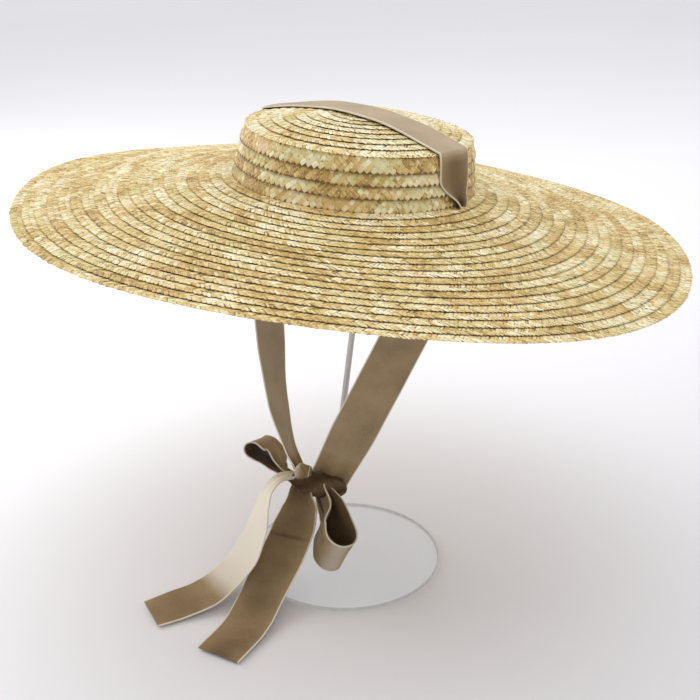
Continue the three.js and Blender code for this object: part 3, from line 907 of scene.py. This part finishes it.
def makeOverCrown():
    wall = hat["wallHeight"]
    rest = ribbon["seat"] + ribbon["rowStep"] + ribbon["slack"] + ribbon["toMiddle"]
    through = hat["strawThickness"]
    foot = hat["halfWidth"]
    half = [(slotX, -ribbon["belowSlot"]), (slotX, -through), (slotX - 0.0001, through)]
    for share in (0.25, 0.55, 0.85):
        up = share * wall
        half.append((foot + wallOut(up) + rest, up))
    edge = foot - hat["lean"]
    half.append((edge + rest * 0.9, wall - 0.3 * hat["edge"]))
    half.append((edge - 0.15 * hat["edge"] + rest * 0.6, wall + rest * 0.75))
    half.append((edge - hat["edge"], wall + rest + 0.0004))
    for share in (0.85, 0.6, 0.3):
        half.append((share * topReach, topHeight(share * topReach - hat["halfWidth"]) + rest))
    right = [Vector((x, 0, z)) for x, z in half]
    left = [Vector((-x, 0, z)) for x, z in reversed(half)]
    points = [*right, Vector((0, 0, topHeight(-hat["halfWidth"]) + rest)), *left]

    def shapeAt(share):
        z = curvePoint(points, share).z
        high = min(1, max(0, (z / wall + overCrown["spreadFrom"]) / overCrown["spreadOver"]))
        high = high * high * (3 - 2 * high)
        side = min(1, max(0, 6 * (1 - z / wall)))
        wide = ribbon["atSlot"] + (1 - ribbon["atSlot"]) * high
        # painted light: a painted highlight on the top, painted shade down the wall, deepest near the slot
        paintedLightLevel = overCrown["topHighlight"] - overCrown["wallShade"] * side - overCrown["slotShade"] * (1 - high) ** 2
        return Vector((0, 1, 0)), wide, overCrown["curl"] * (1 - high), paintedLightLevel, 0

    def drape(placed):
        y, z = placed[:, 1], placed[:, 2]
        high = np.clip(z / wall, 0, 1)
        spread = (z / wall + overCrown["spreadFrom"]) / overCrown["spreadOver"]
        low = np.clip(1 - spread, 0, 1)
        y += ribbon["slotShift"] * low * low * (3 - 2 * low)
        across = y / hat["halfLength"]
        placed[:, 0] *= np.sqrt(1 - across**2)
        placed[:, 2] = z - hat["dome"] * across**2 * high
        return inHat(placed)

    makeRibbon("ribbon_over_crown_cloth", points, shapeAt, overCrown["steps"],
               drape, overCrown["folds"], overCrown["pinch"])


# Each strap's table, from its slot down to the knot: share of the way, how far it hangs out of the straight
# line as a share of its width, the turn and tip of its width, and its width as a share.
straps = {
    "left": {"side": -1, "end": (-0.36, 0.06, 0.15), "paintedLightLevel": 0.18, "table": [
        (0, 0, 90, 0, 0.18), (0, 0, 90, 0, 0.5), (0.15, 0.14, 88, 0, 0.95), (0.4, 0.36, 86, 0, 0.98),
        (0.6, 0.44, 92, 0, 0.95), (0.8, 0.4, 98, 0, 0.75), (0.94, 0.2, 100, 0, 0.42), (1, 0, 100, 0, 0.34)]},
    "right": {"side": 1, "end": (0.20, 0.21, 0.08), "paintedLightLevel": 0.05, "table": [
        (0, 0, 90, 0, 0.18), (0, 0, 90, 0, 0.5), (0.15, 0.03, 76, 0, 0.95),
        (0.4, 0.05, 43, -6, 1), (0.8, 0.03, 37, -14, 1), (1, 0, 34, -22, 0.86)]},
}


strapLook = {
    "steps": 130,
    "overlap": 0.0005,
    "curl": 0.0010,
    "foldedTo": 0.1,
    "foldedFrom": 0.72,
    "shadeFrom": 0.9,
    "shade": 6,
    "rests": ["brim_braid_0", "bow_knot_cloth"],
}


def makeStraps():
    for which, strap in straps.items():
        top = Vector((strap["side"] * slotX, ribbon["slotShift"], strapLook["overlap"] - ribbon["belowSlot"]))
        lead = top - Vector((0, 0, ribbon["lead"]))
        bottom = hatPlace.inverted() @ nearKnot(*strap["end"])
        points = []
        for down, aside, *_ in strap["table"]:
            place = lead.lerp(bottom, down)
            place.x += strap["side"] * aside * ribbon["width"]
            points.append(place)
        points[0] = top

        def shapeAt(share, strap=strap):
            _, _, turn, tip, wide = tableAt(strap["table"], share)
            foldedFrom, shadeFrom = strapLook["foldedFrom"], strapLook["shadeFrom"]
            folded = max(0, 1 - share / strapLook["foldedTo"], (share - foldedFrom) / (1 - foldedFrom))
            # painted light: a small painted highlight over the strap, painted shade at its end by the knot
            paintedLightLevel = strap["paintedLightLevel"] - strapLook["shade"] * max(0, share - shadeFrom)
            return pointing(turn, tip), wide, strapLook["curl"] * math.sin(5 * share), paintedLightLevel, folded

        makeRibbon(f"strap_{which}_cloth", points, shapeAt, strapLook["steps"],
                   inHat)


# Each end's table: share of its reach, sideways share to its left, height as a share of the knot's, the turn
# and tip of its width, its width as a share, and its painted light: a painted highlight above zero, painted
# shade below.
tails = {
    "left": {"reach": 0.142, "heading": 247.6, "crease": 0, "table": [
        (0, -0.05, 1, -34, 9, 0.35, 0.5), (0.09, -0.07, 1.07, -34, 9, 0.36, 0.85),
        (0.18, -0.06, 1.09, -35, 15, 0.48, 0.95), (0.25, -0.05, 1.02, -35, 19, 0.74, 0.95),
        (0.3, -0.03, 0.88, -26, 24, 0.8, 0.95), (0.37, 0.01, 0.63, -17, 18, 0.88, 0.95),
        (0.45, 0.015, 0.37, -12, 14, 0.96, 0.9), (0.56, 0.01, 0.19, -12, 9, 1, 0.75),
        (0.69, 0.02, 0.095, -18, 0, 1, -0.1), (0.85, 0.01, 0.055, -20, -2, 0.97, -0.35),
        (1, 0, 0.036, -19, 0, 0.94, -0.2)]},
    "right": {"reach": 0.1387, "heading": 278.1, "crease": 0.42, "table": [
        (-0.02, -0.06, 1, 4, 0, 0.45, -0.8), (0.05, -0.05, 0.9, 4, 0, 0.56, -0.6),
        (0.1, -0.03, 0.77, 6, 2, 0.86, -0.35), (0.19, -0.02, 0.62, 12, 2, 1, -0.28),
        (0.33, -0.01, 0.45, 14, -2, 1, -0.32), (0.45, -0.02, 0.28, 12, -4, 1, -0.5),
        (0.57, -0.02, 0.135, 7, -2, 1, -0.6), (0.74, 0, 0.056, 2, 0, 1, -0.2),
        (1, 0, 0.036, 8, 0, 0.97, -0.55)]},
}


tailLook = {
    "steps": 130,
    "curl": 0.0006,
    "foldedTo": 0.4,
    "creaseWidth": 0.006,
    "creaseShade": 0.5,
    "aboveCrease": 0.1,
}


def makeTails():
    for which, tail in tails.items():
        ahead, leftward = pointing(tail["heading"], 0), pointing(tail["heading"] + 90, 0)
        points = []
        for reach, side, high, *_ in tail["table"]:
            start = Vector((bow["centre"].x, bow["centre"].y, high * bow["centre"].z))
            points.append(start + ahead * (reach * tail["reach"]) + leftward * (side * tail["reach"]))

        def shapeAt(share, tail=tail):
            _, _, _, turn, tip, wide, paintedLight = tableAt(tail["table"], share)
            # painted shade along the crease and over the stretch above it
            if tail["crease"]:
                near = math.exp(-((share - tail["crease"]) / tailLook["creaseWidth"]) ** 2)
                above = tailLook["aboveCrease"] * (share < tail["crease"])
                paintedLight -= tailLook["creaseShade"] * near + above
            folded = max(0, 1 - share / tailLook["foldedTo"])
            return pointing(turn, tip), wide, tailLook["curl"] * math.sin(4 * share + 1), paintedLight, folded

        makeRibbon(f"tail_{which}_cloth", points, shapeAt, tailLook["steps"])


# One turn of ribbon from its near edge: shares of the loop's length, out from the knot and to either side,
# and how far the ribbon has spread from its gathered width to its full one.
loopTurn = [
    (-0.2, 0, 0.05), (0.05, 0, 0), (0.28, -0.05, 0.35), (0.53, -0.15, 0.86), (0.8, -0.18, 1),
    (0.95, -0.11, 1), (1, 0, 1), (0.95, 0.11, 1), (0.8, 0.17, 1), (0.55, 0.15, 0.86),
    (0.28, 0.1, 0.35), (0.05, 0.04, 0), (-0.2, 0.03, 0.05),
]
loops = {
    "left": {
        "start": (-0.53, -0.15, 0.09), "length": 0.038, "open": 0.9, "gather": 0.32,
        "way": (199, 32), "face": (-74, 18), "twist": 0, "sink": 0,
        "paintedLightLevel": -0.12, "paintedLight": 0.12, "highlightAt": 0.35,
    },
    "right": {
        "start": (0.42, 0, 0.07), "length": 0.0515, "open": 1.3, "gather": 0.68,
        "way": (-40.4, -32.4), "face": (-18, 60.5), "twist": 0.75, "sink": 0.3,
        "paintedLightLevel": -0.45, "paintedLight": 0.85, "highlightAt": 0.47,
    },
}
loopLook = {"steps": 150, "twist": 6, "highlightWidth": 0.15, "inside": -0.8, "sinkTo": 0.3}


# A loop's inner face is painted deep shade.
def shadeInside(piece):
    points, cloth = coords(piece), noted(piece, "cloth")
    sides = np.split(np.arange(len(points)), 2)
    middle = points.mean(axis=0)
    inner = min(sides, key=lambda side: np.linalg.norm(points[side] - middle, axis=1).mean())
    cloth[inner, 2] = loopLook["inside"]
    note(piece, "cloth", cloth)


def makeLoops():
    for which, loop in loops.items():
        outward, across = pointing(*loop["way"]), pointing(*loop["face"])
        sideways = across.cross(outward).normalized()

        def edgeways(out, side, loop=loop, across=across, sideways=sideways):
            turned = loop["twist"] * loopLook["twist"] * max(0, side) * (1 - out)
            return (across + sideways * turned).normalized()

        points = []
        for out, side, full in loopTurn:
            wide = loop["gather"] + (1 - loop["gather"]) * full
            place = nearKnot(*loop["start"]) + outward * (out * loop["length"])
            place = place.lerp(bow["centre"], loop["sink"] * max(0, 1 - full / loopLook["sinkTo"]))
            place += sideways * (side * loop["open"] * loop["length"])
            points.append(place - edgeways(out, side) * (wide * ribbon["width"] / 2))

        def shapeAt(share, loop=loop, edgeways=edgeways):
            out, side, full = tableAt(loopTurn, share)
            wide = loop["gather"] + (1 - loop["gather"]) * full
            # a painted highlight where the loop bends round, over its base of painted shade
            bend = max(0, 1 - ((share - loop["highlightAt"]) / loopLook["highlightWidth"]) ** 2)
            folded = 1 - math.sin(math.pi * share)
            return edgeways(out, side), wide, 0, loop["paintedLightLevel"] + loop["paintedLight"] * bend, folded

        piece = makeRibbon(f"bow_loop_{which}_cloth", points, shapeAt, loopLook["steps"])
        shadeInside(piece)


# The knot: ribbon rolled long ways, with a smaller round of it over the left part.
def makeKnot():
    along = pointing(bow["turn"], -bow["dip"])
    wrapPlace = along * (-bow["length"] / 6) + Vector((0, 0, bow["wrapRise"] * bow["depth"]))
    rolls = []
    for name, half, deep, place, folds, blunt in (
        ("roll", bow["length"] / 2, bow["depth"] / 2, along * bow["slide"],
         bow["rollFolds"], bow["rollBlunt"]),
        ("wrap", bow["wrapHalf"] * bow["wrap"], bow["wrapDeep"] * bow["wrap"], wrapPlace,
         bow["wrapFolds"], bow["wrapBlunt"]),
    ):
        deselectAll()
        bpy.ops.mesh.primitive_uv_sphere_add(segments=72, ring_count=48, radius=1)
        roll = newPiece(name)
        points = coords(roll)
        # the sphere's poles are the roll's ends
        angle = np.arctan2(points[:, 1], points[:, 0])
        end = points[:, 2]
        radius = np.sqrt(np.maximum(0, 1 - np.abs(end) ** blunt))
        fold = 1 + bow["foldDepth"] * np.cos(folds * angle + 5 * end)
        fold += bow["creaseDepth"] * np.cos(7 * angle - 9 * end)
        shape = [end * half, np.cos(angle) * radius * fold * deep, np.sin(angle) * radius * fold * deep]
        turned = (Matrix.Rotation(math.radians(bow["turn"]), 3, "Z")
                  @ Matrix.Rotation(math.radians(bow["dip"]), 3, "Y"))
        setCoords(roll, np.stack(shape, axis=1) @ np.array(turned).T + np.array(bow["centre"] + place))
        # painted light: the wrap gets a painted highlight on one end and painted shade on the other, the roll
        # deep painted shade
        if name == "wrap":
            across, paintedLight = 1 - np.abs(end - 0.62), np.clip(-0.3 - end, -0.3, 0.35)
        else:
            across, paintedLight = 0.5 * end, -0.85 - 0.15 * np.cos(3 * angle + 5 * end)
        note(roll, "cloth", np.stack([angle * 0.01, across, paintedLight], axis=1))
        useOnly(roll)
        bpy.ops.object.mode_set(mode="EDIT")
        bpy.ops.mesh.select_all(action="SELECT")
        bpy.ops.mesh.normals_make_consistent(inside=False)
        bpy.ops.object.mode_set(mode="OBJECT")
        rolls.append(roll)
    knot = joined("bow_knot_cloth", rolls)
    smooth(knot, 70)
    dress(knot, velvetCloth)
    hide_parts("bow_knot")


makeOverCrown()
makeStraps()
makeKnot()
makeLoops()
makeTails()
print("ribbon done")


clearPlate, paleMetal = clearMaterial(), paleMetalMaterial()
for name, material in (("stand_base", clearPlate), ("stand_stem", paleMetal), ("stand_head", paleMetal)):
    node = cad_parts[name]
    node.data.materials.clear()
    node.data.materials.append(material)


studio = {
    "floorSize": 30.0,
    "ahead": (-0.5899, 0.8075),
    "right": (0.8075, 0.5899),
    "world": 0.80,
    "worldColour": (0.98, 0.98, 1.0),
    "floorFrom": -0.7,
    "floorTo": 0.95,
    "floorGrey": (0.68, 0.67, 0.695),
    "floorPale": (0.96, 0.95, 0.975),
    "floorRoughness": 0.75,
    "window": {"place": (-1.45, -0.30, 0.95), "aim": (0, 0, 0.15), "size": 1.3, "power": 12},
    "above": {"place": (0.3, 0.3, 2.0), "aim": (0, 0, 0.2), "size": 2.2, "power": 19},
}


# A pale floor with painted shade: a little greyer near the right front than far off.
def makeFloor():
    deselectAll()
    bpy.ops.mesh.primitive_plane_add(size=studio["floorSize"])
    floor = newPiece("floor")
    material, nodes, links, surface = nodeTree("white_floor")
    place = nodes.new("ShaderNodeTexCoord").outputs["Object"]
    way = nodes.new("ShaderNodeVectorMath")
    way.operation = "DOT_PRODUCT"
    links.new(place, way.inputs[0])
    way.inputs[1].default_value = [a - r for a, r in zip(studio["ahead"], studio["right"])] + [0]
    cloud = noise(nodes, links, place, 1.2, 2)
    shade = nodes.new("ShaderNodeMapRange")
    shade.interpolation_type = "SMOOTHSTEP"
    shade.inputs["From Min"].default_value = studio["floorFrom"]
    shade.inputs["From Max"].default_value = studio["floorTo"]
    links.new(way.outputs["Value"], shade.inputs["Value"])
    tone = mixed(nodes, links, "MIX", shade.outputs[0], studio["floorGrey"], studio["floorPale"])
    soft = ramp(nodes, [(0.3, (0.97, 0.97, 0.97)), (0.7, (1, 1, 1))])
    links.new(cloud.outputs["Fac"], soft.inputs[0])
    links.new(mixed(nodes, links, "MULTIPLY", 1.0, tone, soft.outputs[0]), surface.inputs["Base Color"])
    surface.inputs["Roughness"].default_value = studio["floorRoughness"]
    floor.data.materials.append(material)


def makeLight(name, light):
    data = bpy.data.lights.new(name, "AREA")
    data.shape = "SQUARE"
    data.size = light["size"]
    data.energy = light["power"]
    lamp = bpy.data.objects.new(name, data)
    scene.collection.objects.link(lamp)
    lamp.location = light["place"]
    lamp.rotation_euler = (Vector(light["aim"]) - Vector(light["place"])).to_track_quat("-Z", "Y").to_euler()


view = {
    "lens": 56.57,
    "sensor": 36,
    "place": (0.4580, -0.6194, 0.5118),
    "way": (-0.54284, 0.74306, -0.39137),
}


def makeCamera():
    data = bpy.data.cameras.new("camera")
    data.lens = view["lens"]
    data.sensor_width = view["sensor"]
    camera = bpy.data.objects.new("camera", data)
    scene.collection.objects.link(camera)
    camera.location = view["place"]
    camera.rotation_euler = Vector(view["way"]).to_track_quat("-Z", "Y").to_euler()
    scene.camera = camera


makeFloor()
makeLight("window", studio["window"])
makeLight("above", studio["above"])
makeCamera()
world = bpy.data.worlds.new("room")
world.use_nodes = True
world.node_tree.nodes["Background"].inputs[0].default_value = (*studio["worldColour"], 1)
world.node_tree.nodes["Background"].inputs[1].default_value = studio["world"]
scene.world = world
scene.view_settings.view_transform = "Standard"
